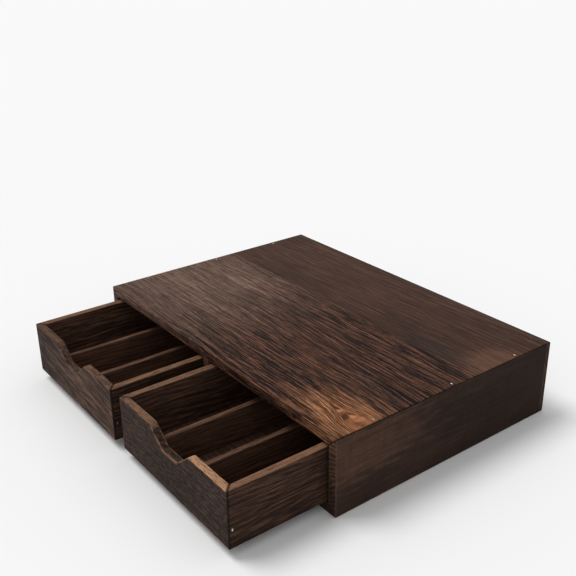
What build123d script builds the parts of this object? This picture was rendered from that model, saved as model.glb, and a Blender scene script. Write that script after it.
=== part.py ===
from build123d import *
import os

# Coffee pod drawer cabinet: a low mitred box of stained boards with two notched drawers side by side.
# Millimetres. +Z up, the front faces -Y, +X is the right-hand side seen from the front.
# The origin is the centre of the cabinet's underside.

# --- Cabinet -------------------------------------------------------------------------------------
cabinet_width = 420.0
cabinet_depth = 291.0  # front edge to the rear of the back panel
cabinet_height = 83.0
board_thickness = 10.0
partition_thickness = 10.0
back_panel_thickness = 6.0
front_plank_width = 176.0  # the top board is glued up from a front and a rear plank
corner_radius = 1.5  # sanded long corners of cabinet and drawers
edge_radius = 1.0  # sanded front, rear and rim edges

# --- Drawers -------------------------------------------------------------------------------------
drawer_board_thickness = 8.0
drawer_bottom_thickness = 6.0
drawer_side_gap = 3.3  # clearance to the cabinet on each side
drawer_top_gap = 3.7  # clearance under the top board
drawer_glide_gap = 0.3  # clearance over the bottom board
drawer_rear_gap = 0.5  # clearance to the back panel when the front is flush
divider_thickness = 6.0
divider_height = 36.0  # above the drawer bottom
left_pull_out = 105.0  # how far each front stands out of the cabinet at rest
right_pull_out = 104.0

# --- Finger notch in each drawer front -----------------------------------------------------------
notch_top_width = 68.0
notch_bottom_width = 26.0
notch_depth = 17.0
notch_bottom_radius = 9.0
notch_lip_radius = 4.0

# --- Brads ---------------------------------------------------------------------------------------
brad_length = 20.0
brad_head_length = 2.6  # nail-gun brads: flat wire with a narrow flat head
brad_head_width = 1.4
brad_head_thickness = 0.8
brad_shank_width = 1.2
brad_shank_thickness = 1.0
front_brad_inset = 47.0  # first brad of a side row, from the cabinet's front
middle_brad_inset = 147.0  # second brad, from the front
rear_brad_inset = 52.0  # third brad, from the cabinet's rear
back_brad_inset = 18.0  # end brads of the back panel, from its ends
back_brads_per_row = 5
corner_brad_height = 19.5  # above the drawer's underside

# --- Sizes that follow ---------------------------------------------------------------------------
half_width = cabinet_width / 2
cabinet_front = -cabinet_depth / 2
cabinet_rear = cabinet_depth / 2
back_panel_front = cabinet_rear - back_panel_thickness
inside_top = cabinet_height - board_thickness
inside_height = inside_top - board_thickness
inside_width = cabinet_width - 2 * board_thickness
bay_width = (inside_width - partition_thickness) / 2
bay_center = (partition_thickness + bay_width) / 2
bay_depth = back_panel_front - cabinet_front

drawer_width = bay_width - 2 * drawer_side_gap
drawer_length = bay_depth - drawer_rear_gap
drawer_height = inside_height - drawer_glide_gap - drawer_top_gap
drawer_underside = board_thickness + drawer_glide_gap
drawer_inside_width = drawer_width - 2 * drawer_board_thickness
drawer_inside_length = drawer_length - 2 * drawer_board_thickness
lane_width = (drawer_inside_width - 2 * divider_thickness) / 3
divider_offset = (lane_width + divider_thickness) / 2

os.makedirs("parts", exist_ok=True)


def export(builder, name):
    """Label a finished piece and write its STEP file."""
    builder.part.label = name
    export_step(builder.part, f"parts/{name}.step")


def brads(planes):
    """Brads driven in at the given planes, each plane's Z axis pointing out of the wood."""
    with BuildPart() as group:
        for plane in planes:
            with BuildSketch(plane):
                Rectangle(brad_head_length, brad_head_width)
            extrude(amount=-brad_head_thickness)
            with BuildSketch(plane.offset(-brad_head_thickness)):
                Rectangle(brad_shank_width, brad_shank_thickness)
            extrude(amount=brad_head_thickness - brad_length)
    return group


def cut_board(block, planes, brad_groups):
    """One board of a block: what lies in front of every plane, drilled for its brads."""
    with BuildPart() as board:
        add(block.part)
        for plane in planes:
            split(bisect_by=plane, keep=Keep.TOP)
        for group in brad_groups:
            add(group.part, mode=Mode.SUBTRACT)
    return board


# --- Cabinet brads -------------------------------------------------------------------------------
# The side rows stand over the middle of the side boards, and the partition's brads between theirs.
brad_line_x = half_width - board_thickness / 2
front_brad_y = cabinet_front + front_brad_inset
middle_brad_y = cabinet_front + middle_brad_inset
rear_brad_y = cabinet_rear - rear_brad_inset
side_brad_rows = (front_brad_y, middle_brad_y, rear_brad_y)
side_brad_places = [(x, y) for x in (-brad_line_x, brad_line_x) for y in side_brad_rows]
partition_brad_places = [(0, (front_brad_y + middle_brad_y) / 2), (0, (middle_brad_y + rear_brad_y) / 2)]
back_brad_spacing = (cabinet_width - 2 * back_brad_inset) / (back_brads_per_row - 1)
back_brad_places = [
    back_brad_inset - half_width + index * back_brad_spacing for index in range(back_brads_per_row)
]

top_brads = brads(
    [
        Plane(origin=(x, y, cabinet_height), z_dir=(0, 0, 1))
        for x, y in side_brad_places
    ]
)

bottom_brads = brads(
    [
        Plane(origin=(x, y, 0), z_dir=(0, 0, -1))
        for x, y in side_brad_places + partition_brad_places
    ]
)

back_brads = brads(
    [
        Plane(origin=(x, cabinet_rear, z), z_dir=(0, 1, 0))
        for x in back_brad_places
        for z in (board_thickness / 2, cabinet_height - board_thickness / 2)
    ]
)

# --- Cabinet block: the whole mitred carcass, before it is cut into its boards ---------------------
with BuildPart() as carcass:
    with BuildSketch(Plane.XY):
        Rectangle(cabinet_width, cabinet_depth)
    extrude(amount=cabinet_height)
    fillet(carcass.edges().filter_by(Axis.Y), corner_radius)
    fillet(carcass.faces().sort_by(Axis.Y)[0].edges(), edge_radius)
    fillet(carcass.faces().sort_by(Axis.Y)[-1].edges(), edge_radius)
    with BuildSketch(Plane.XZ.offset(-cabinet_front)):
        with Locations((0, board_thickness + inside_height / 2)):
            Rectangle(inside_width, inside_height)
    extrude(amount=-bay_depth, mode=Mode.SUBTRACT)

# The mitre planes run through the outer corners at 45 degrees; each faces the top or bottom board.
top_left_mitre = Plane(origin=(-half_width, 0, cabinet_height), z_dir=(1, 0, 1))
top_right_mitre = Plane(origin=(half_width, 0, cabinet_height), z_dir=(-1, 0, 1))
bottom_left_mitre = Plane(origin=(-half_width, 0, 0), z_dir=(1, 0, -1))
bottom_right_mitre = Plane(origin=(half_width, 0, 0), z_dir=(-1, 0, -1))
back_joint = Plane(origin=(0, back_panel_front, 0), z_dir=(0, 1, 0))
plank_joint = Plane(origin=(0, cabinet_front + front_plank_width, 0), z_dir=(0, 1, 0))
mid_height = Plane.XY.offset(cabinet_height / 2)
mid_width = Plane.YZ

top_planes = [-back_joint, mid_height, top_left_mitre, top_right_mitre]
bottom_planes = [-back_joint, -mid_height, bottom_left_mitre, bottom_right_mitre]
left_planes = [-back_joint, -mid_width, -top_left_mitre, -bottom_left_mitre]
right_planes = [-back_joint, mid_width, -top_right_mitre, -bottom_right_mitre]

top_front_plank = cut_board(carcass, [*top_planes, -plank_joint], [top_brads])
top_rear_plank = cut_board(carcass, [*top_planes, plank_joint], [top_brads, back_brads])
bottom_board = cut_board(carcass, bottom_planes, [bottom_brads, back_brads])
left_side_board = cut_board(carcass, left_planes, [top_brads, bottom_brads])
right_side_board = cut_board(carcass, right_planes, [top_brads, bottom_brads])
back_panel = cut_board(carcass, [back_joint], [back_brads])

with BuildPart() as center_partition:
    with BuildSketch(Plane.XY.offset(board_thickness)):
        with Locations((0, cabinet_front + bay_depth / 2)):
            Rectangle(partition_thickness, bay_depth)
    extrude(amount=inside_height)
    fillet(center_partition.edges().filter_by(Axis.Z).group_by(Axis.Y)[0], edge_radius)
    add(bottom_brads.part, mode=Mode.SUBTRACT)

export(top_front_plank, "top_front_plank")
export(top_rear_plank, "top_rear_plank")
export(bottom_board, "bottom_board")
export(left_side_board, "left_side_board")
export(right_side_board, "right_side_board")
export(back_panel, "back_panel")
export(center_partition, "center_partition")
export(top_brads, "top_brads")
export(bottom_brads, "bottom_brads")
export(back_brads, "back_brads")


def make_drawer(name, center_x, pull_out):
    """One drawer: four mitred boards, a bottom panel, two lane dividers and the corner brads."""
    front_y = cabinet_front - pull_out
    rear_y = front_y + drawer_length
    center_y = (front_y + rear_y) / 2
    rim_z = drawer_underside + drawer_height
    left_x = center_x - drawer_width / 2
    right_x = center_x + drawer_width / 2
    floor_z = drawer_underside + drawer_bottom_thickness
    notch_floor_z = rim_z - notch_depth
    lip = notch_top_width / 2
    heel = notch_bottom_width / 2
    rim_end = lip + notch_lip_radius
    base = Plane(origin=(center_x, center_y, drawer_underside))
    front_face = Plane(origin=(center_x, front_y, rim_z), x_dir=(1, 0, 0), z_dir=(0, -1, 0))

    corner_brads = brads(
        [
            Plane(origin=(x, y, drawer_underside + corner_brad_height), z_dir=(side, 0, 0))
            for x, side in ((left_x, -1), (right_x, 1))
            for y in (front_y + drawer_board_thickness / 2, rear_y - drawer_board_thickness / 2)
        ]
    )

    # The four walls as one frame, with the finger notch and the sanded rim.
    with BuildPart() as walls:
        with BuildSketch(base):
            RectangleRounded(drawer_width, drawer_length, corner_radius)
        extrude(amount=drawer_height)
        fillet(walls.faces().sort_by(Axis.Z)[0].edges(), edge_radius)
        with BuildSketch(base):
            Rectangle(drawer_inside_width, drawer_inside_length)
        extrude(amount=drawer_height, mode=Mode.SUBTRACT)
        with BuildSketch(front_face):
            with BuildLine():
                FilletPolyline(
                    (-rim_end, notch_lip_radius),
                    (-rim_end, 0),
                    (-lip, 0),
                    (-heel, -notch_depth),
                    (heel, -notch_depth),
                    (lip, 0),
                    (rim_end, 0),
                    (rim_end, notch_lip_radius),
                    radius=[0, 0, notch_lip_radius, notch_bottom_radius]
                    + [notch_bottom_radius, notch_lip_radius, 0, 0],
                    close=True,
                )
            make_face()
        extrude(amount=-drawer_board_thickness, mode=Mode.SUBTRACT)
        rim = (
            walls.edges()
            .filter_by(lambda edge: edge.center().Z > notch_floor_z - edge_radius)
            .filter_by(Axis.Z, reverse=True)
            .filter_by(lambda edge: abs(edge.length - drawer_board_thickness) > edge_radius)
        )
        fillet(rim, edge_radius)

    front_left_mitre = Plane(origin=(left_x, front_y, 0), z_dir=(1, -1, 0))
    front_right_mitre = Plane(origin=(right_x, front_y, 0), z_dir=(-1, -1, 0))
    rear_left_mitre = Plane(origin=(left_x, rear_y, 0), z_dir=(1, 1, 0))
    rear_right_mitre = Plane(origin=(right_x, rear_y, 0), z_dir=(-1, 1, 0))

    mid_length = Plane(origin=(0, center_y, 0), z_dir=(0, 1, 0))
    mid_drawer = Plane.YZ.offset(center_x)

    front_planes = [-mid_length, front_left_mitre, front_right_mitre]
    back_planes = [mid_length, rear_left_mitre, rear_right_mitre]
    left_planes = [-mid_drawer, -front_left_mitre, -rear_left_mitre]
    right_planes = [mid_drawer, -front_right_mitre, -rear_right_mitre]

    export(cut_board(walls, front_planes, [corner_brads]), f"{name}_front")
    export(cut_board(walls, back_planes, [corner_brads]), f"{name}_back")
    export(cut_board(walls, left_planes, [corner_brads]), f"{name}_left_side")
    export(cut_board(walls, right_planes, [corner_brads]), f"{name}_right_side")
    export(corner_brads, f"{name}_corner_brads")

    with BuildPart() as bottom:
        with BuildSketch(base):
            Rectangle(drawer_inside_width, drawer_inside_length)
        extrude(amount=drawer_bottom_thickness)

    export(bottom, f"{name}_bottom")

    for lane_side, offset_x in (("left", -divider_offset), ("right", divider_offset)):
        with BuildPart() as divider:
            with BuildSketch(Plane.XY.offset(floor_z)):
                with Locations((center_x + offset_x, center_y)):
                    Rectangle(divider_thickness, drawer_inside_length)
            extrude(amount=divider_height)
            fillet(divider.edges().filter_by(Axis.Y).group_by(Axis.Z)[-1], edge_radius)
        export(divider, f"{name}_{lane_side}_divider")


make_drawer("left_drawer", -bay_center, left_pull_out)
make_drawer("right_drawer", bay_center, right_pull_out)
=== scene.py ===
"""Looks of a low stained-wood cabinet with two drawers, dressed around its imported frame.

The cabinet is a mitred box of scorched and stained boards with two notched drawers. Every board keeps
its solid and gets a finish of its own, whose growth rings, fibres, pores, knots, scorching and sanded
edges follow that board's grain and place.
"""

import logging
import math
from dataclasses import dataclass, field, replace
from enum import Enum
from typing import Sequence, Union

import bpy
from mathutils import Matrix, Vector


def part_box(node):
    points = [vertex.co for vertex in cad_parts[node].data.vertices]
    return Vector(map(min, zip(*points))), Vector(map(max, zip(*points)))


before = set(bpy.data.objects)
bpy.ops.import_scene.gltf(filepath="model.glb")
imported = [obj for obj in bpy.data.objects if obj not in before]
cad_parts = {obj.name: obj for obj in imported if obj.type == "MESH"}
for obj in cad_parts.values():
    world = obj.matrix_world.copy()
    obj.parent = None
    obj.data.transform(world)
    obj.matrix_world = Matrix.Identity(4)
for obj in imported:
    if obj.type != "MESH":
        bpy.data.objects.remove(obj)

logging.basicConfig(level=logging.INFO, format="%(message)s")
log = logging.getLogger("scene")

Color = tuple[float, float, float]
Span = tuple[float, float]
Socket = bpy.types.NodeSocket
Value = Union[float, Socket]
Owner = Union[bpy.types.Material, bpy.types.World]

MM = 0.001
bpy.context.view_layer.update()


def stain(red: int, green: int, blue: int) -> Color:
    """A colour as it is named on a 0 to 255 scale, made linear.

    Args:
        red, green, blue: display values, 0 to 255.

    Returns:
        The linear colour that the shaders take.
    """

    def linear(value: int) -> float:
        """One display value, made linear."""
        share = value / 255
        return share / 12.92 if share <= 0.04045 else ((share + 0.055) / 1.055) ** 2.4

    return linear(red), linear(green), linear(blue)


class Axis(Enum):
    """An axis of the frame, by its place in a coordinate."""

    X = 0
    Y = 1
    Z = 2


class Tree:
    """Builds the node tree of a material or of the world, a value at a time."""

    def __init__(self, owner: Owner) -> None:
        """Start with an empty tree.

        Args:
            owner: what the tree belongs to.
        """
        self.owner = owner
        self.owner.use_nodes = True
        self.nodes = self.owner.node_tree.nodes
        self.links = self.owner.node_tree.links
        self.nodes.clear()

    def add(self, kind: str, **settings: object) -> bpy.types.Node:
        """Add a node.

        Args:
            kind: the node's type name.
            settings: its properties.

        Returns:
            The node.
        """
        node = self.nodes.new(kind)
        for key, value in settings.items():
            setattr(node, key, value)
        return node

    def feed(self, socket: Socket, value: Value | Color) -> None:
        """Link a socket to another, or write a plain value on it.

        Args:
            socket: the socket.
            value: the other socket, a number or a colour.
        """
        if isinstance(value, bpy.types.NodeSocket):
            self.links.new(value, socket)
        elif isinstance(value, tuple) and socket.type == "RGBA":
            socket.default_value = (*value, 1.0)
        else:
            socket.default_value = value

    def math(self, operation: str, *values: Value, clamp: bool = False) -> Socket:
        """One math node.

        Args:
            operation: the operation's name, such as MULTIPLY.
            values: its inputs, in order.
            clamp: whether the result is held between 0 and 1.

        Returns:
            The result.
        """
        node = self.add("ShaderNodeMath", operation=operation, use_clamp=clamp)
        for socket, value in zip(node.inputs, values):
            self.feed(socket, value)
        return node.outputs[0]

    def remap(self, value: Value, source: Span, target: Span = (0.0, 1.0)) -> Socket:
        """Ease a value from one span into another, held at both ends.

        Args:
            value: the value.
            source: the span it is read from. Its first end may be the higher one.
            target: the span it is brought to.

        Returns:
            The eased value.
        """
        node = self.add("ShaderNodeMapRange", interpolation_type="SMOOTHSTEP")
        keys = ("Value", "From Min", "From Max", "To Min", "To Max")
        for key, item in zip(keys, (value, *source, *target)):
            self.feed(node.inputs[key], item)
        return node.outputs["Result"]

    def blend(self, share: Socket, first: Socket, second: Socket) -> Socket:
        """A value that turns from a first into a second one as the share goes from 0 to 1."""
        return self.math("MULTIPLY_ADD", share, self.math("SUBTRACT", second, first), first)

    def centered(self, value: Socket) -> Socket:
        """A noise moved from around a half to around nothing."""
        return self.math("SUBTRACT", value, 0.5)

    def length(self, first: Socket, second: Socket) -> Socket:
        """The length of a step of two parts, square to each other."""
        square = self.math("MULTIPLY", second, second)
        return self.math("SQRT", self.math("MULTIPLY_ADD", first, first, square))

    def place(self, coordinates: Socket, offset: Vector) -> Socket:
        """Bring coordinates from metres to millimetres and move them.

        Args:
            coordinates: the coordinates, in metres.
            offset: how far they are moved, in millimetres.

        Returns:
            The coordinates, in millimetres.
        """
        node = self.add("ShaderNodeMapping", vector_type="POINT")
        node.inputs["Scale"].default_value = (1 / MM,) * 3
        node.inputs["Location"].default_value = tuple(offset)
        self.feed(node.inputs["Vector"], coordinates)
        return node.outputs[0]

    def split(self, vector: Socket) -> list[Socket]:
        """Split a vector.

        Args:
            vector: the vector.

        Returns:
            Its three parts.
        """
        node = self.add("ShaderNodeSeparateXYZ")
        self.feed(node.inputs[0], vector)
        return list(node.outputs)[:3]

    def vector(self, x: Value, y: Value, z: Value) -> Socket:
        """Join three values.

        Args:
            x, y, z: the values.

        Returns:
            The vector.
        """
        node = self.add("ShaderNodeCombineXYZ")
        for socket, value in zip(node.inputs, (x, y, z)):
            self.feed(socket, value)
        return node.outputs[0]

    def noise(self, place: Socket, detail: float = 2.0, roughness: float = 0.5) -> Socket:
        """Smooth noise with one cell per unit of the place.

        Args:
            place: where the noise is read.
            detail: how many finer noises are laid over it.
            roughness: how strong these are.

        Returns:
            The noise, around a half.
        """
        node = self.add("ShaderNodeTexNoise", noise_dimensions="3D", normalize=True)
        self.feed(node.inputs["Vector"], place)
        node.inputs["Scale"].default_value = 1.0
        node.inputs["Detail"].default_value = detail
        node.inputs["Roughness"].default_value = roughness
        return node.outputs["Fac"]

    def mix(self, share: Value, first: Value | Color, second: Value | Color) -> Socket:
        """Mix two colours.

        Args:
            share: how much of the second shows.
            first, second: the colours.

        Returns:
            The mixed colour.
        """
        node = self.add("ShaderNodeMix", data_type="RGBA", clamp_factor=True)
        self.feed(node.inputs["Factor"], share)
        colors = [socket for socket in node.inputs if socket.type == "RGBA"]
        self.feed(colors[0], first)
        self.feed(colors[1], second)
        return [socket for socket in node.outputs if socket.type == "RGBA"][0]

    def scaled(self, color: Socket, factor: Socket) -> Socket:
        """Make a colour lighter or darker.

        Args:
            color: the colour.
            factor: how many times as light it becomes.

        Returns:
            The changed colour.
        """
        node = self.add("ShaderNodeVectorMath", operation="SCALE")
        self.feed(node.inputs[0], color)
        self.feed(node.inputs["Scale"], factor)
        return node.outputs[0]

    def ramp(self, value: Value, stops: Sequence[tuple[float, Color]]) -> Socket:
        """Read a colour off a ramp.

        Args:
            value: where to read it.
            stops: places and their colours, in order.

        Returns:
            The colour.
        """
        node = self.add("ShaderNodeValToRGB")
        elements = node.color_ramp.elements
        while len(elements) < len(stops):
            elements.new(0.5)
        for element, (place, color) in zip(elements, stops):
            element.position = place
            element.color = (*color, 1.0)
        self.feed(node.inputs["Fac"], value)
        return node.outputs["Color"]

    def finish(self, shader: bpy.types.Node, height: Socket, relief: float) -> bpy.types.Material:
        """Give a shader its relief and make it the material's surface.

        Args:
            shader: the shader.
            height: the relief's height, 0 to 1.
            relief: how high 1 is, in millimetres.

        Returns:
            The material.
        """
        bump = self.add("ShaderNodeBump")
        bump.inputs["Strength"].default_value = 1.0
        bump.inputs["Distance"].default_value = relief * MM
        self.feed(bump.inputs["Height"], height)
        self.feed(shader.inputs["Normal"], bump.outputs[0])
        output = self.add("ShaderNodeOutputMaterial")
        self.feed(output.inputs["Surface"], shader.outputs[0])
        return self.owner


@dataclass(frozen=True)
class Cells:
    """A noise laid over a board, in cells of a set size.

    Attributes:
        size: the cell with the grain and across it, in millimetres.
        shift: what sets the noise apart from the board's others.
        detail, roughness: how much finer noise is laid over it.
    """

    size: Span
    shift: float
    detail: float = 2.0
    roughness: float = 0.5


# --- Noises of a board -----------------------------------------------------------------------------
FIBRES = Cells((34.0, 0.9), shift=6.1, detail=2.5, roughness=0.6)
STREAKS = Cells((90.0, 2.4), shift=2.3, detail=2.5, roughness=0.6)
VEINS = Cells((20.0, 3.2), shift=27.1)
BLOTCHES = Cells((46.0, 11.0), shift=21.3, detail=3.0, roughness=0.6)
PORES = Cells((6.5, 0.45), shift=17.0, detail=1.0)
BEND = Cells((110.0, 26.0), shift=1.7, detail=1.5)
QUIVER = Cells((14.0, 4.5), shift=3.9)
RING_WANDER = Cells((170.0, 45.0), shift=9.2, detail=1.0)
RING_BLUR = Cells((40.0, 2.0), shift=7.7)
PATCH_RIM = Cells((24.0, 6.0), shift=4.4, detail=2.5)
CLOUDS = Cells((120.0, 40.0), shift=12.9)
SHIMMER = Cells((5.0, 26.0), shift=31.7)
SEED_ACROSS = 3.1  # how far a board's seed moves its noises across the grain, for 1 with it
DEPTH_SHIFT = 5.7  # keeps the noises' third coordinate off the others

# --- Spans over which a noise, a ring or the way that a face points is eased -----------------------
KNOT_RING_SPAN = (0.1, 0.9)
FIBRE_SPAN = (0.36, 0.64)
STREAK_SPAN = (0.32, 0.68)
VEIN_SPAN = (0.05, 0.01)
BLOTCH_SPAN = (0.48, 0.68)
PORE_SPAN = (0.58, 0.70)
EARLY_WOOD = (0.0, 0.72)
LATE_WOOD = (0.80, 1.0)
CLOUD_SPAN = (0.3, 0.7)
BARE_SPAN = (0.30, 0.52)
RUBBED_SPAN = (0.30, 0.56)
END_FACING = (0.55, 0.8)
INNER_FACING = (0.5, 0.9)
RIM_FACING = (0.35, 0.8)

# --- Shares of a board's lines and pores in its tone, gloss and relief -------------------------------
CHAR_STOP = 0.10
BODY_STOP = 0.45
RIDGE_STOP = 0.88
PATCH_REACH = 1.1
END_RINGS = 0.65
END_FIBRES = 0.25
PORE_SHADE = 0.25
FIBRE_GLOSS = 0.22
PORE_MATT = 0.12
WORN_MATT = 0.08
LINE_HEIGHT = 0.9
PORE_DEPTH = 0.5
CHIP_DEPTH = 4.0  # millimetres between the deepest and the shallowest wear of an arris
RIM_DEPTHS = (5.0, 2.0)  # millimetres under the rim between which its sanding fades in
RIM_RUN = (-0.3, 0.45)  # where along a board, in halves of it, its rim turns from one share to the other
RUBBED_SHARES = (0.6, 1.0)
SEAM_CORE = 0.25  # the share of a seam's width that is as dark as it gets
PARTING_RUN = 2.0  # how far along the grain the lines part around a knot, in its radii
PARTING_FULL = 0.5  # how far across the grain a knot's push is full, in its radii


@dataclass(frozen=True)
class Tone:
    """The colours of one board, from its scorched pores to its bare edges."""

    char: Color
    body: Color
    ridge: Color
    worn: Color


@dataclass(frozen=True)
class Patch:
    """A part of a board with colours of its own: mostly where it took the stain in its own way, and on the
    top also a painted reflection.

    Attributes:
        center: its place in the frame, with the grain and across it, in millimetres.
        radii: its reach both ways, in millimetres.
        tone: its own colours.
        strength: how much of them shows at its heart.
        heart: the share of its reach that is full.
        ragged: how far its rim wanders, as a share of its reach.
    """

    center: Span
    radii: Span
    tone: Tone
    strength: float = 0.9
    heart: float = 0.45
    ragged: float = 1.0


@dataclass(frozen=True)
class Knot:
    """A pin knot: rings of its own, with the board's lines parting around it.

    Attributes:
        center: its place in the frame, with the grain and across it, in millimetres.
        radii: its reach both ways, in millimetres.
        rings: how many times they turn from dark to light or back within its reach.
        dark, light: how light its rings are, at their darkest and lightest.
        ragged: how far its rings wander, as a share of its reach.
        rim: where it ends and where it is full, as shares of its reach.
        strength: how far it covers the board's lines.
        reach: how far across the grain the lines part, in its radii.
    """

    center: Span
    radii: Span
    rings: float = 1.2
    dark: float = 0.20
    light: float = 0.46
    ragged: float = 0.8
    rim: Span = (1.3, 0.8)
    strength: float = 0.75
    reach: float = 3.0


@dataclass(frozen=True)
class MitreFrame:
    """Four boards mitred into a frame, with a dark line where they meet.

    Attributes:
        axes: the frame's two axes.
        low, high: its lowest and highest corner, in metres.
        line_width: the line's width, in millimetres.
        line_shade: how light the line is against the wood.
    """

    axes: tuple[Axis, Axis]
    low: Vector
    high: Vector
    line_width: float = 1.2
    line_shade: float = 0.16


@dataclass(frozen=True)
class NotchOutline:
    """The finger notch in a drawer front, in millimetres, with its rim at the board's top."""

    top_width: float = 68.0
    bottom_width: float = 26.0
    depth: float = 17.0
    center_x: float = 0.0
    rim_z: float = 69.3

    def margin(self, tree: Tree, axes: Sequence[Socket], center: Vector) -> Socket:
        """How far a point lies under the notched rim, square to it.

        Args:
            tree: the board's tree.
            axes: the point's place on the board, in millimetres.
            center: the board's centre in the frame, in millimetres.

        Returns:
            The distance, in millimetres.
        """
        run = (self.top_width - self.bottom_width) / 2
        offset = tree.math("ABSOLUTE", tree.math("SUBTRACT", axes[0], self.center_x - center[0]))
        inward = tree.math("SUBTRACT", self.top_width / 2, offset)
        share = tree.math("MULTIPLY", inward, 1 / run, clamp=True)
        edge = tree.math("MULTIPLY_ADD", share, -self.depth, self.rim_z - center[2])
        slope = math.cos(math.atan2(self.depth, run))
        return tree.math("MULTIPLY", tree.math("SUBTRACT", edge, axes[2]), slope)


@dataclass(frozen=True)
class BoardWood:
    """A stained, lightly scorched softwood board. Lengths are in millimetres.

    Attributes:
        tone: its colours.
        grain, width, face: the axes along its grain, across it and through its thickness.
        ring_pitch: the step from one growth ring to the next.
        pith: how far the tree's pith lies beside the board and under it.
        taper: how fast the rings run out of its face.
        slope: how steeply the lines run across it.
        warp, quiver: how far the lines wander over long and over short stretches.
        ring_share, fibre_share, streak_share: how much each kind of line counts.
        fibre_cell, streak_cell, vein_cell, blotch_cell: the size of each, with the grain and across it.
        contrast: how strong the lines are.
        vein, blotch: how dark the thin veins and the scorched blotches are.
        cloud, curl: how much the stain changes slowly, and shimmers across the grain.
        drift: how much lighter it gets from its middle to the far end of its grain axis.
        relief: how high its lines stand.
        roughness, specular: the shader's own.
        worn_width, worn_share: how wide and how far its arrises are rubbed bare.
        rim: how bare its sanded rim is at the two ends of its grain axis.
        end_shade: how light its end grain is against its face.
        inward: 1 or -1 for the side of its face axis that points into a drawer, and 0 for none.
        painted_bounce_lift: how much lighter that side is made, as painted bounce light inside the drawer.
        seed: what sets it apart from boards of the same kind.
        patches, knots: its patches and knots.
    """

    tone: Tone
    grain: Axis = Axis.X
    width: Axis = Axis.Y
    face: Axis = Axis.Z
    ring_pitch: float = 3.2
    pith: Span = (8.0, 34.0)
    taper: float = 0.05
    slope: float = 0.0
    warp: float = 5.0
    quiver: float = 0.9
    ring_share: float = 0.30
    fibre_share: float = 0.40
    streak_share: float = 0.30
    fibre_cell: Span = FIBRES.size
    streak_cell: Span = STREAKS.size
    vein_cell: Span = VEINS.size
    blotch_cell: Span = BLOTCHES.size
    contrast: float = 1.0
    vein: float = 0.0
    blotch: float = 0.0
    cloud: float = 0.12
    curl: float = 0.0
    drift: float = 0.0
    relief: float = 0.2
    roughness: float = 0.62
    specular: float = 0.05
    worn_width: float = 1.0
    worn_share: float = 0.4
    rim: Span = (0.0, 0.0)
    end_shade: float = 0.8
    inward: float = 0.0
    # painted bounce light on the face inside a drawer
    painted_bounce_lift: float = 1.9
    seed: float = 0.0
    patches: tuple[Patch, ...] = ()
    knots: tuple[Knot, ...] = ()


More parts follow.
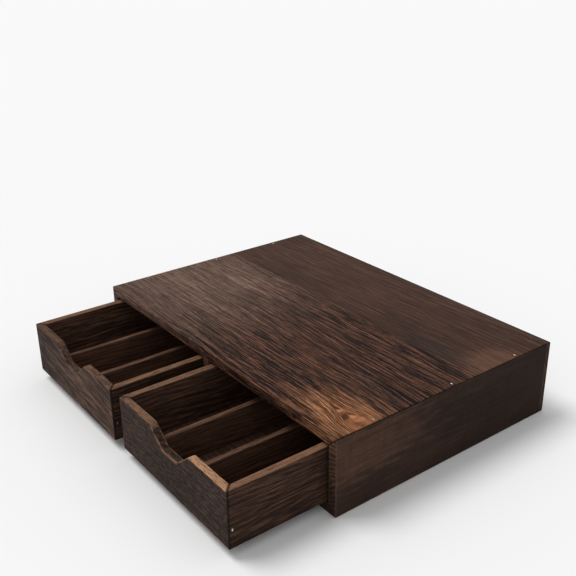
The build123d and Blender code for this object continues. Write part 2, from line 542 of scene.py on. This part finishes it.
class BoardSurface:
    """Draws one board's wood as a node tree."""

    def __init__(self, wood: BoardWood, node: str) -> None:
        """Start the board's tree and find a point's place on the board.

        Args:
            wood: the board's finish.
            node: the board's node.
        """
        self.wood = wood
        self.tree = Tree(bpy.data.materials.new(node))
        low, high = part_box(node)
        self.center = (low + high) / 2 / MM
        self.half = (high - low) / 2 / MM
        source = self.tree.add("ShaderNodeTexCoord")
        self.axes = self.tree.split(self.tree.place(source.outputs["Object"], -self.center))
        self.facing = self.tree.split(source.outputs["Normal"])
        self.along = self.axes[wood.grain.value]
        self.across = self.axes[wood.width.value]
        self.depth = self.axes[wood.face.value]
        self.end = self.tree.remap(self.tree.math("ABSOLUTE", self.facing[wood.grain.value]), END_FACING)
        self.flow = self._flow()
        self.fibre = self._noise(self.flow, replace(FIBRES, size=wood.fibre_cell))
        self.streak = self._noise(self.flow, replace(STREAKS, size=wood.streak_cell))

    def material(self, ring: MitreFrame | None, notch: NotchOutline | None) -> bpy.types.Material:
        """Make the board's material.

        Args:
            ring: the mitred frame that the board belongs to, if any.
            notch: the finger notch cut in it, if any.

        Returns:
            The material.
        """
        tree, wood = self.tree, self.wood
        pore = tree.remap(self._noise(self.flow, PORES), PORE_SPAN)
        value = self._value()
        color = self._stained(value, wood.tone)
        for patch in wood.patches:
            color = tree.mix(self._patch(patch), color, self._stained(value, patch.tone))

        worn = self._worn(notch)
        if max(wood.rim) > 0:
            worn = tree.math("MAXIMUM", worn, self._rim())
        bare = tree.mix(tree.remap(self.fibre, BARE_SPAN), wood.tone.ridge, wood.tone.worn)
        color = tree.mix(worn, color, bare)
        shade = self._shade(pore)
        if ring is not None:
            shade = tree.math("MULTIPLY", shade, self._seam(ring))

        shader = tree.add("ShaderNodeBsdfPrincipled")
        tree.feed(shader.inputs["Base Color"], tree.scaled(color, shade))
        gloss = tree.math("MULTIPLY_ADD", self.fibre, -FIBRE_GLOSS, wood.roughness + FIBRE_GLOSS / 2)
        gloss = tree.math("MULTIPLY_ADD", pore, PORE_MATT, gloss)
        gloss = tree.math("MULTIPLY_ADD", worn, WORN_MATT, gloss, clamp=True)
        tree.feed(shader.inputs["Roughness"], gloss)
        shader.inputs["Specular IOR Level"].default_value = wood.specular
        height = tree.math("MULTIPLY_ADD", value, LINE_HEIGHT, tree.math("MULTIPLY", pore, -PORE_DEPTH))
        return tree.finish(shader, height, wood.relief)

    def _noise(self, across: Socket, cells: Cells) -> Socket:
        """A noise laid over the board.

        Args:
            across: the place across the grain, as the lines run.
            cells: the noise.

        Returns:
            The noise, around a half.
        """
        tree, seed = self.tree, self.wood.seed
        length, width = cells.size
        place = tree.vector(
            tree.math("MULTIPLY_ADD", self.along, 1 / length, seed + cells.shift),
            tree.math("MULTIPLY_ADD", across, 1 / width, SEED_ACROSS * seed - cells.shift),
            tree.math("MULTIPLY_ADD", self.depth, 1 / width, DEPTH_SHIFT + cells.shift),
        )
        return tree.noise(place, cells.detail, cells.roughness)

    def _offset(self, center: Span) -> tuple[Socket, Socket]:
        """How far a point lies from a place in the frame, with the grain and across it."""
        run = self.tree.math("SUBTRACT", self.along, center[0] - self.center[self.wood.grain.value])
        rise = self.tree.math("SUBTRACT", self.across, center[1] - self.center[self.wood.width.value])
        return run, rise

    def _reach(self, center: Span, radii: Span) -> Socket:
        """How far a point lies from a place in the frame.

        Args:
            center: the place.
            radii: what counts as 1, with the grain and across it.

        Returns:
            The distance, as a share of the radii.
        """
        run, rise = self._offset(center)
        return self.tree.length(
            self.tree.math("MULTIPLY", run, 1 / radii[0]), self.tree.math("MULTIPLY", rise, 1 / radii[1])
        )

    def _flow(self) -> Socket:
        """The place across the lines, which wander along the board and part around its knots.

        Returns:
            The place, in millimetres.
        """
        tree, wood = self.tree, self.wood
        level = tree.math("MULTIPLY_ADD", self.along, wood.slope, self.across)
        flow = tree.math("MULTIPLY_ADD", tree.centered(self._noise(level, BEND)), 2 * wood.warp, level)
        flow = tree.math("MULTIPLY_ADD", tree.centered(self._noise(level, QUIVER)), 2 * wood.quiver, flow)
        for knot in wood.knots:
            flow = tree.math("SUBTRACT", flow, self._parting(knot))
        return flow

    def _parting(self, knot: Knot) -> Socket:
        """How far a knot pushes the lines away from it.

        Args:
            knot: the knot.

        Returns:
            The push across the grain, in millimetres.
        """
        tree, (length, width) = self.tree, knot.radii
        run, rise = self._offset(knot.center)
        stretch = tree.math("MULTIPLY", run, 1 / (PARTING_RUN * length))
        swell = tree.math("EXPONENT", tree.math("MULTIPLY", tree.math("MULTIPLY", stretch, stretch), -1.0))
        far = tree.math("ABSOLUTE", rise)
        push = tree.math("MINIMUM", far, tree.math("MULTIPLY", swell, width))
        push = tree.math("MULTIPLY", push, tree.remap(far, (knot.reach * width, PARTING_FULL * width)))
        return tree.math("MULTIPLY", push, tree.math("SIGN", rise))

    def _growth(self) -> Socket:
        """Growth rings around a pith that runs along the board.

        Returns:
            A value that rises slowly over each ring and then drops.
        """
        tree, wood = self.tree, self.wood
        side = tree.math("ADD", self.flow, wood.pith[0])
        wander = tree.centered(self._noise(self.flow, RING_WANDER))
        deep = tree.math("MULTIPLY_ADD", wander, 2 * wood.warp, tree.math("ADD", self.depth, wood.pith[1]))
        deep = tree.math("MULTIPLY_ADD", self.along, wood.taper, deep)
        blur = self._noise(self.flow, RING_BLUR)
        turn = tree.math("MULTIPLY_ADD", tree.length(side, deep), 1 / wood.ring_pitch, blur)
        turn = tree.math("FRACT", turn)
        return tree.math("MULTIPLY", tree.remap(turn, EARLY_WOOD), tree.remap(turn, LATE_WOOD, (1.0, 0.0)))

    def _value(self) -> Socket:
        """How light the wood is at a point, from its lines, its knots and its end grain.

        Returns:
            0 where it is charred to 1 on its ridges.
        """
        tree, wood = self.tree, self.wood
        growth = self._growth()
        value = self._lines(growth)
        for knot in wood.knots:
            value = self._knotted(value, knot)
        rings = tree.math("MULTIPLY_ADD", growth, END_RINGS, tree.math("MULTIPLY", self.fibre, END_FIBRES))
        return tree.blend(self.end, value, rings)

    def _lines(self, growth: Socket) -> Socket:
        """How light a board's face is, from its rings, fibres, streaks, veins and blotches.

        Args:
            growth: the board's growth rings.

        Returns:
            0 at its darkest to 1 at its lightest.
        """
        tree, wood = self.tree, self.wood
        total = wood.ring_share + wood.fibre_share + wood.streak_share
        fibres = tree.remap(self.fibre, FIBRE_SPAN)
        streaks = tree.remap(self.streak, STREAK_SPAN)
        value = tree.math("MULTIPLY", growth, wood.ring_share / total)
        value = tree.math("MULTIPLY_ADD", fibres, wood.fibre_share / total, value)
        value = tree.math("MULTIPLY_ADD", streaks, wood.streak_share / total, value)
        value = tree.math("MULTIPLY_ADD", tree.centered(value), wood.contrast, 0.5, clamp=True)
        if wood.vein > 0:
            line = tree.centered(self._noise(self.flow, replace(VEINS, size=wood.vein_cell)))
            line = tree.remap(tree.math("ABSOLUTE", line), VEIN_SPAN)
            value = tree.math("MULTIPLY_ADD", line, -wood.vein, value, clamp=True)
        if wood.blotch > 0:
            blot = self._noise(self.across, replace(BLOTCHES, size=wood.blotch_cell))
            blot = tree.remap(blot, BLOTCH_SPAN)
            value = tree.math("MULTIPLY_ADD", blot, -wood.blotch, value, clamp=True)
        return value

    def _knotted(self, value: Socket, knot: Knot) -> Socket:
        """Lay a knot's rings over the board's lines.

        Args:
            value: the lines.
            knot: the knot.

        Returns:
            The lines with the knot.
        """
        tree = self.tree
        reach = self._reach(knot.center, knot.radii)
        reach = tree.math("MULTIPLY_ADD", tree.centered(self.streak), 2 * knot.ragged, reach)
        rings = tree.math("PINGPONG", tree.math("MULTIPLY", reach, knot.rings), 1.0)
        rings = tree.remap(rings, KNOT_RING_SPAN, (knot.dark, knot.light))
        inside = tree.remap(reach, knot.rim, (0.0, knot.strength))
        return tree.blend(inside, value, rings)

    def _stained(self, value: Socket, tone: Tone) -> Socket:
        """Read a tone off the board's lines."""
        stops = [(CHAR_STOP, tone.char), (BODY_STOP, tone.body), (RIDGE_STOP, tone.ridge)]
        return self.tree.ramp(value, stops)

    def _patch(self, patch: Patch) -> Socket:
        """Where a patch shows: full at its heart and gone outside it, with a ragged rim.

        Args:
            patch: the patch.

        Returns:
            The share of it that shows.
        """
        tree = self.tree
        reach = self._reach(patch.center, patch.radii)
        rim = replace(PATCH_RIM, shift=PATCH_RIM.shift + patch.radii[0])
        edge = tree.centered(self._noise(self.across, rim))
        reach = tree.math("MULTIPLY_ADD", edge, 2 * patch.ragged, reach)
        return tree.math("MULTIPLY", tree.remap(reach, (PATCH_REACH, patch.heart)), patch.strength)

    def _shade(self, pore: Socket) -> Socket:
        """Slow changes of stain, shimmer, open pores, thirsty end grain and painted bounce light on the face
        inside a drawer.

        Args:
            pore: where the pores are open.

        Returns:
            What the colour is multiplied by.
        """
        tree, wood = self.tree, self.wood
        shade = tree.remap(self._noise(self.across, CLOUDS), CLOUD_SPAN, (1 - wood.cloud, 1 + wood.cloud))
        parts = [
            tree.math("MULTIPLY_ADD", self.along, wood.drift / self.half[wood.grain.value], 1.0),
            tree.math("MULTIPLY_ADD", pore, -PORE_SHADE, 1.0),
            tree.math("MULTIPLY_ADD", self.end, wood.end_shade - 1.0, 1.0),
        ]
        if wood.curl > 0:
            shimmer = tree.centered(self._noise(self.across, SHIMMER))
            parts.append(tree.math("MULTIPLY_ADD", shimmer, 2 * wood.curl, 1.0))
        if wood.inward != 0:
            # Painted bounce light: the face that points into a drawer is made lighter, as if light bounced
            # into it.
            start, full = INNER_FACING
            inner = tree.remap(self.facing[wood.face.value], (start * wood.inward, full * wood.inward))
            parts.append(tree.math("MULTIPLY_ADD", inner, wood.painted_bounce_lift - 1.0, 1.0))
        for part in parts:
            shade = tree.math("MULTIPLY", shade, part)
        return shade

    def _worn(self, notch: NotchOutline | None) -> Socket:
        """How far the stain is rubbed off along the board's arrises.

        Args:
            notch: the notch in it, if it has one.

        Returns:
            The worn share.
        """
        tree, wood = self.tree, self.wood
        margins = [
            tree.math("SUBTRACT", self.half[axis.value], tree.math("ABSOLUTE", self.axes[axis.value]))
            for axis in Axis
        ]
        if notch is not None:
            margins[2] = tree.math("MINIMUM", margins[2], notch.margin(tree, self.axes, self.center))
        smaller = tree.math("MINIMUM", margins[0], margins[1])
        larger = tree.math("MAXIMUM", margins[0], margins[1])
        edge = tree.math("MAXIMUM", smaller, tree.math("MINIMUM", larger, margins[2]))
        edge = tree.math("MULTIPLY_ADD", tree.centered(self.streak), -CHIP_DEPTH, edge)
        return tree.math("MULTIPLY", tree.remap(edge, (wood.worn_width, 0.0)), wood.worn_share)

    def _rim(self) -> Socket:
        """The sanded upper edge of a drawer board, lighter towards one end.

        Returns:
            How bare the edge is, and 0 below it.
        """
        tree, wood = self.tree, self.wood
        top, half = self.half[2], self.half[wood.grain.value]
        upper = tree.remap(self.axes[2], (top - RIM_DEPTHS[0], top - RIM_DEPTHS[1]))
        upper = tree.math("MULTIPLY", tree.remap(self.facing[2], RIM_FACING), upper)
        share = tree.remap(self.along, (RIM_RUN[0] * half, RIM_RUN[1] * half), wood.rim)
        share = tree.math("MULTIPLY", share, tree.remap(self.streak, RUBBED_SPAN, RUBBED_SHARES))
        return tree.math("MULTIPLY", upper, share)

    def _seam(self, ring: MitreFrame) -> Socket:
        """The dark line where two boards of a mitred frame meet.

        Args:
            ring: the mitred frame.

        Returns:
            1 away from the joint, and less on it.
        """
        tree = self.tree
        gaps = []
        for axis in ring.axes:
            index = axis.value
            middle = (ring.low[index] + ring.high[index]) / 2 / MM - self.center[index]
            reach = (ring.high[index] - ring.low[index]) / 2 / MM
            offset = tree.math("ABSOLUTE", tree.math("SUBTRACT", self.axes[index], middle))
            gaps.append(tree.math("SUBTRACT", reach, offset))
        away = tree.math("ABSOLUTE", tree.math("SUBTRACT", gaps[0], gaps[1]))
        return tree.remap(away, (SEAM_CORE * ring.line_width, ring.line_width), (ring.line_shade, 1.0))


@dataclass(frozen=True)
class BradSteel:
    """Bright steel brad heads with a trace of stain and fine file marks.

    Attributes:
        metal, smear: the colours of the steel and of stain on it.
        roughness: the steel's own.
        smeared_y: where along Y, in millimetres, the smear on the foremost brads sets in.
        smeared_z: the heights over which it sets in, so that it stays on the top.
        blotch_span: the span of the noise over which blotches of stain set in.
        smear_share: how much stain there is where it is thickest.
        marks_per_mm: how many cells of the file marks' noise a millimetre along X holds.
        mark_depth: how far they change the roughness.
        relief: how high they stand, in millimetres.
    """

    metal: Color = stain(205, 200, 192)
    smear: Color = stain(112, 84, 66)
    roughness: float = 0.34
    smeared_y: Span = (-85.0, -90.0)
    smeared_z: Span = (78.0, 82.0)
    blotch_span: Span = (0.5, 0.75)
    smear_share: float = 0.6
    marks_per_mm: float = 9.0
    mark_depth: float = 0.3
    relief: float = 0.05

    def build(self, name: str) -> bpy.types.Material:
        """Make the material; the brads nearest the front of the top took more of the stain.

        Args:
            name: the material's name.

        Returns:
            The material.
        """
        tree = Tree(bpy.data.materials.new(name))
        source = tree.add("ShaderNodeTexCoord")
        spot = tree.place(source.outputs["Object"], Vector((0.0, 0.0, 0.0)))
        x, y, z = tree.split(spot)
        marks = tree.noise(tree.vector(tree.math("MULTIPLY", x, self.marks_per_mm), y, z))
        smeared = tree.math(
            "MULTIPLY", tree.remap(y, self.smeared_y, (0.0, self.smear_share)), tree.remap(z, self.smeared_z)
        )
        blotch = tree.noise(spot, detail=3.0, roughness=0.6)
        blotch = tree.remap(blotch, self.blotch_span, (0.0, self.smear_share))
        shader = tree.add("ShaderNodeBsdfPrincipled")
        color = tree.mix(tree.math("MAXIMUM", blotch, smeared), self.metal, self.smear)
        tree.feed(shader.inputs["Base Color"], color)
        shader.inputs["Metallic"].default_value = 1.0
        rough = tree.math("MULTIPLY_ADD", marks, self.mark_depth, self.roughness - self.mark_depth / 2)
        tree.feed(shader.inputs["Roughness"], rough)
        return tree.finish(shader, marks, self.relief)


def set_finish(node: str, material: bpy.types.Material) -> None:
    """Give a node's object one material.

    Args:
        node: the node's name.
        material: its finish.
    """
    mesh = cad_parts[node].data
    mesh.materials.clear()
    mesh.materials.append(material)
    log.info("dressed %s", node)


# --- Stains ----------------------------------------------------------------------------------------
TOP_FRONT = Tone(stain(21, 12, 10), stain(42, 27, 21), stain(111, 74, 56), stain(122, 84, 62))
TOP_DARK = Tone(stain(20, 13, 12), stain(34, 25, 22), stain(86, 64, 54), stain(84, 62, 52))
TOP_TAN = Tone(stain(80, 48, 30), stain(156, 102, 67), stain(202, 144, 103), stain(166, 118, 84))
# A painted reflection: the greyish, low-contrast sheen over the left of the top.
TOP_PAINTED_REFLECTION = Tone(stain(80, 61, 52), stain(107, 85, 74), stain(130, 105, 92), stain(124, 98, 82))
TOP_REAR = Tone(stain(38, 26, 20), stain(60, 41, 32), stain(86, 61, 49), stain(100, 74, 58))
REAR_DARK = Tone(stain(34, 24, 21), stain(50, 37, 32), stain(72, 55, 47), stain(80, 60, 50))
REAR_TAN = Tone(stain(62, 42, 32), stain(88, 62, 49), stain(112, 82, 65), stain(116, 84, 66))
SIDE = Tone(stain(34, 24, 20), stain(46, 33, 27), stain(61, 45, 38), stain(100, 74, 58))
SIDE_WARM = Tone(stain(50, 35, 27), stain(68, 49, 39), stain(88, 66, 53), stain(108, 82, 64))
FRONT = Tone(stain(28, 20, 17), stain(47, 35, 30), stain(79, 60, 52), stain(182, 138, 106))
LEFT_FRONT = Tone(stain(38, 28, 23), stain(65, 49, 41), stain(104, 80, 66), stain(124, 92, 72))
FRONT_WARM = Tone(stain(46, 33, 26), stain(82, 61, 49), stain(126, 96, 77), stain(140, 104, 80))
WALL = Tone(stain(30, 20, 17), stain(46, 33, 27), stain(86, 61, 47), stain(136, 100, 77))
# Stain of the boards inside the cabinet and the drawers, made lighter with painted bounce light.
INSIDE_STAIN_AND_BOUNCE = Tone(stain(46, 32, 25), stain(76, 54, 43), stain(112, 82, 64), stain(120, 90, 70))
PANEL = Tone(stain(38, 27, 22), stain(60, 44, 36), stain(80, 60, 50), stain(96, 70, 54))

# --- Drawer boards ---------------------------------------------------------------------------------
RIGHT_FRONT_BOARD = BoardWood(
    FRONT, width=Axis.Z, face=Axis.Y, ring_pitch=3.4, pith=(60.0, 40.0), taper=0.12, quiver=1.4,
    ring_share=0.15, fibre_share=0.42, streak_share=0.22, fibre_cell=(8.0, 0.8), contrast=1.0,
    blotch=0.30, blotch_cell=(5.0, 3.5), relief=0.2, worn_width=1.6, rim=(0.30, 1.0), seed=1.3,
)
LEFT_FRONT_BOARD = replace(
    RIGHT_FRONT_BOARD, tone=LEFT_FRONT, slope=0.10, fibre_cell=(18.0, 1.0), streak_cell=(60.0, 3.0),
    warp=8.0, streak_share=0.5, contrast=1.2, blotch=0.25, blotch_cell=(24.0, 7.0), rim=(0.5, 0.25),
    seed=3.7,
    patches=(
        Patch(center=(-70.0, 36.0), radii=(120.0, 13.0), tone=FRONT_WARM, strength=0.7),
        Patch(center=(-196.0, 36.0), radii=(70.0, 80.0), tone=FRONT, strength=0.8, ragged=0.6),
    ),
)
WALL_BOARD = BoardWood(
    WALL, grain=Axis.Y, width=Axis.Z, face=Axis.X, ring_pitch=3.6, pith=(30.0, 36.0), taper=0.04,
    warp=6.0, quiver=1.5, fibre_cell=(22.0, 1.0), contrast=0.9, relief=0.25, rim=(0.75, 0.6),
)


@dataclass
class Carcass:
    """The fixed cabinet: mitred top, sides and bottom, a back panel and a partition."""

    top_front: BoardWood = BoardWood(
        TOP_FRONT, ring_pitch=2.3, pith=(125.0, 30.0), taper=0.05, warp=6.0, quiver=0.8, ring_share=0.26,
        fibre_share=0.46, streak_share=0.28, fibre_cell=(52.0, 0.9), streak_cell=(70.0, 1.4), contrast=2.5,
        vein=0.34, vein_cell=(26.0, 1.5), blotch=0.30, blotch_cell=(44.0, 6.0), cloud=0.12, curl=0.28,
        relief=0.3, worn_share=0.2, seed=2.4,
        patches=(
            # Painted reflection: a greyish sheen over the left of the top, with its lines washed out.
            Patch(center=(-170.0, -60.0), radii=(200.0, 190.0), tone=TOP_PAINTED_REFLECTION, heart=0.15, ragged=0.35),
            Patch(center=(162.0, -57.0), radii=(44.0, 10.0), tone=TOP_DARK, strength=0.7),
            Patch(center=(184.0, -84.0), radii=(24.0, 7.0), tone=TOP_DARK, strength=0.6),
            Patch(center=(194.0, -116.0), radii=(76.0, 40.0), tone=TOP_TAN, heart=0.15, ragged=0.5),
        ),
        knots=(Knot(center=(204.0, -113.0), radii=(12.0, 10.0)),),
    )
    top_rear: BoardWood = BoardWood(
        TOP_REAR, ring_pitch=4.0, pith=(-80.0, 60.0), taper=0.03, quiver=0.5, ring_share=0.20,
        contrast=0.75, cloud=0.18, curl=0.12, relief=0.1, worn_share=0.15, seed=7.9,
        patches=(
            Patch(center=(150.0, 40.0), radii=(60.0, 20.0), tone=REAR_DARK, ragged=0.4),
            Patch(center=(208.0, 64.0), radii=(40.0, 42.0), tone=REAR_TAN, ragged=0.5),
        ),
    )
    side: BoardWood = BoardWood(
        SIDE, grain=Axis.Y, width=Axis.Z, face=Axis.X, ring_pitch=4.4, pith=(95.0, -40.0), taper=0.02,
        quiver=0.8, ring_share=0.12, fibre_share=0.3, streak_share=0.4, contrast=0.36, cloud=0.14,
        curl=0.22, relief=0.1, worn_width=1.6, drift=-0.30, end_shade=1.12, seed=4.2,
        patches=(Patch(center=(-112.0, 58.0), radii=(95.0, 34.0), tone=SIDE_WARM, strength=0.75),),
    )
    bottom: BoardWood = BoardWood(
        SIDE, ring_pitch=4.6, pith=(20.0, -50.0), contrast=0.7, relief=0.12, worn_share=0.3, seed=11.3,
    )
    back: BoardWood = BoardWood(
        PANEL, grain=Axis.X, width=Axis.Z, face=Axis.Y, ring_pitch=5.5, pith=(8.0, 60.0), contrast=0.7,
        relief=0.1, worn_share=0.3, seed=15.8,
    )
    partition: BoardWood = BoardWood(
        INSIDE_STAIN_AND_BOUNCE, grain=Axis.Y, width=Axis.Z, face=Axis.X, pith=(40.0, 34.0), contrast=0.8, relief=0.15,
        seed=19.1,
    )

    def dress(self) -> None:
        """Give every board of the cabinet its own finish."""
        low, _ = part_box("left_side_board")
        _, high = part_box("right_side_board")
        low.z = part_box("bottom_board")[0].z
        high.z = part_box("top_front_plank")[1].z
        ring = MitreFrame((Axis.X, Axis.Z), low, high)
        mitred = {
            "top_front_plank": self.top_front,
            "top_rear_plank": self.top_rear,
            "left_side_board": replace(self.side, seed=self.side.seed + 3.3),
            "right_side_board": self.side,
            "bottom_board": self.bottom,
        }
        for node, wood in mitred.items():
            set_finish(node, BoardSurface(wood, node).material(ring, None))
        for node, wood in {"back_panel": self.back, "center_partition": self.partition}.items():
            set_finish(node, BoardSurface(wood, node).material(None, None))


@dataclass
class Drawer:
    """One drawer: mitred walls with a notched front, a bottom panel and two dividers.

    Attributes:
        side: left or right, as its nodes are named.
        front, wall, panel, divider: the finishes of its boards.
        seed: what sets its boards apart from the other drawer's.
        notch: the notch in its front, without its place.
        corner_line: the width of the dark line down its corners, in millimetres.
    """

    side: str
    front: BoardWood
    seed: float
    wall: BoardWood = WALL_BOARD
    panel: BoardWood = BoardWood(INSIDE_STAIN_AND_BOUNCE, ring_pitch=5.5, contrast=0.6, relief=0.1, worn_share=0.1)
    divider: BoardWood = BoardWood(
        INSIDE_STAIN_AND_BOUNCE, grain=Axis.Y, width=Axis.Z, face=Axis.X, pith=(30.0, 34.0), contrast=0.8, relief=0.15,
        worn_share=0.2,
    )
    notch: NotchOutline = NotchOutline()
    corner_line: float = 2.6

    def dress(self) -> None:
        """Give every board of the drawer its own finish."""
        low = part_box(f"{self.side}_drawer_front")[0]
        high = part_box(f"{self.side}_drawer_back")[1]
        low.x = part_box(f"{self.side}_drawer_left_side")[0].x
        high.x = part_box(f"{self.side}_drawer_right_side")[1].x
        ring = MitreFrame((Axis.X, Axis.Y), low, high, self.corner_line)
        notch = replace(self.notch, center_x=(low.x + high.x) / 2 / MM, rim_z=high.z / MM)
        rear = replace(self.front, patches=(), rim=(0.5, 0.5), inward=-1.0, seed=self.seed + 2.9)
        boards = {
            "front": (replace(self.front, inward=1.0), ring, notch),
            "back": (rear, ring, None),
            "left_side": (replace(self.wall, inward=1.0, seed=self.seed + 5.1), ring, None),
            "right_side": (replace(self.wall, inward=-1.0, seed=self.seed + 8.7), ring, None),
            "bottom": (replace(self.panel, seed=self.seed + 11.9), None, None),
            "left_divider": (replace(self.divider, seed=self.seed + 14.3), None, None),
            "right_divider": (replace(self.divider, seed=self.seed + 17.7), None, None),
        }
        for piece, (wood, mitres, cut) in boards.items():
            node = f"{self.side}_drawer_{piece}"
            set_finish(node, BoardSurface(wood, node).material(mitres, cut))


@dataclass
class Brads:
    """The steel brads of the cabinet and of both drawers."""

    groups: tuple[str, ...] = (
        "top_brads", "bottom_brads", "back_brads", "left_drawer_corner_brads", "right_drawer_corner_brads",
    )
    steel: BradSteel = BradSteel()

    def dress(self) -> None:
        """Give every group of brads one steel."""
        material = self.steel.build("brad_steel")
        for node in self.groups:
            set_finish(node, material)


@dataclass
class Studio:
    """A pale floor, a soft key lamp and an even sky.

    Attributes:
        floor_size: the floor's width, in metres.
        floor_color: its colour.
        sky_light: how strongly the sky lights the cabinet. It shows at 1.
        key_strength, key_spread: the lamp's strength and the angle that it fills.
        key_from: the way towards the lamp.
    """

    floor_size: float = 40.0
    floor_color: Color = (0.93, 0.93, 0.93)
    sky_light: float = 0.58
    key_strength: float = 1.55
    key_spread: float = math.radians(28.0)
    key_from: Vector = field(default_factory=lambda: Vector((-0.42, -0.30, 1.0)))

    def build(self) -> None:
        """Set out the floor, the lamp and the world."""
        bpy.context.scene.view_settings.view_transform = "Standard"
        self._floor()
        self._key()
        self._sky()
        log.info("studio set out")

    def _floor(self) -> None:
        """A wide pale sheet under the cabinet."""
        bpy.ops.mesh.primitive_grid_add(size=self.floor_size, x_subdivisions=2, y_subdivisions=2)
        floor = bpy.context.object
        floor.name = "floor"
        tree = Tree(bpy.data.materials.new("floor_paper"))
        shader = tree.add("ShaderNodeBsdfDiffuse")
        tree.feed(shader.inputs["Color"], self.floor_color)
        output = tree.add("ShaderNodeOutputMaterial")
        tree.feed(output.inputs["Surface"], shader.outputs[0])
        floor.data.materials.append(tree.owner)

    def _key(self) -> None:
        """A broad lamp from the upper left."""
        lamp = bpy.data.lights.new("key", "SUN")
        lamp.energy = self.key_strength
        lamp.angle = self.key_spread
        key = bpy.data.objects.new("key", lamp)
        key.rotation_mode = "QUATERNION"
        key.rotation_quaternion = self.key_from.to_track_quat("Z", "Y")
        bpy.context.scene.collection.objects.link(key)

    def _sky(self) -> None:
        """An even sky that shows white behind the cabinet and in its gloss."""
        world = bpy.data.worlds.new("sky")
        bpy.context.scene.world = world
        tree = Tree(world)
        path = tree.add("ShaderNodeLightPath")
        seen = tree.math("MAXIMUM", path.outputs["Is Glossy Ray"], path.outputs["Is Transmission Ray"])
        seen = tree.math("MAXIMUM", path.outputs["Is Camera Ray"], seen)
        background = tree.add("ShaderNodeBackground")
        tree.feed(background.inputs["Color"], (1.0, 1.0, 1.0))
        strength = tree.math("MULTIPLY_ADD", seen, 1.0 - self.sky_light, self.sky_light)
        tree.feed(background.inputs["Strength"], strength)
        output = tree.add("ShaderNodeOutputWorld")
        tree.feed(output.inputs["Surface"], background.outputs[0])


@dataclass
class PhotoCamera:
    """The camera that the photograph was taken with, in the frame.

    Attributes:
        position: its place, in metres.
        yaw, pitch, roll: how far it is turned left from +Y, down from level and about its own axis.
        focal_pixels: its focal length, in pixels of the picture.
        picture_pixels: the picture's width and height.
        axis_pixel: where its axis meets the picture.
        sensor: the sensor's width, in millimetres.
        nearest: the nearest that it sees, in metres.
    """

    position: tuple[float, float, float] = (0.66896, -0.54157, 0.49048)
    yaw: float = math.radians(53.524)
    pitch: float = math.radians(23.802)
    roll: float = math.radians(-0.928)
    focal_pixels: float = 844.22
    picture_pixels: float = 576.0
    axis_pixel: Span = (280.49, 289.42)
    sensor: float = 36.0
    nearest: float = 0.01

    def build(self) -> None:
        """Place the camera and make it the scene's own."""
        forward = Vector((
            -math.sin(self.yaw) * math.cos(self.pitch),
            math.cos(self.yaw) * math.cos(self.pitch),
            -math.sin(self.pitch),
        ))
        level = Vector((math.cos(self.yaw), math.sin(self.yaw), 0.0))
        upright = level.cross(forward)
        right = math.cos(self.roll) * level + math.sin(self.roll) * upright
        up = -math.sin(self.roll) * level + math.cos(self.roll) * upright
        data = bpy.data.cameras.new("camera")
        data.sensor_width = self.sensor
        data.lens = self.focal_pixels / self.picture_pixels * self.sensor
        middle = self.picture_pixels / 2
        data.shift_x = (middle - self.axis_pixel[0]) / self.picture_pixels
        data.shift_y = (self.axis_pixel[1] - middle) / self.picture_pixels
        data.clip_start = self.nearest
        camera = bpy.data.objects.new("camera", data)
        turn = Matrix((right, up, -forward)).transposed()
        camera.matrix_world = Matrix.Translation(Vector(self.position)) @ turn.to_4x4()
        bpy.context.scene.collection.objects.link(camera)
        bpy.context.scene.camera = camera
        log.info("camera placed")


def main() -> None:
    """Build the camera, dress every piece and set out the studio."""
    PhotoCamera().build()
    Carcass().dress()
    Drawer("left", LEFT_FRONT_BOARD, seed=23.0).dress()
    Drawer("right", RIGHT_FRONT_BOARD, seed=41.0).dress()
    Brads().dress()
    Studio().build()


if __name__ == "__main__":
    main()
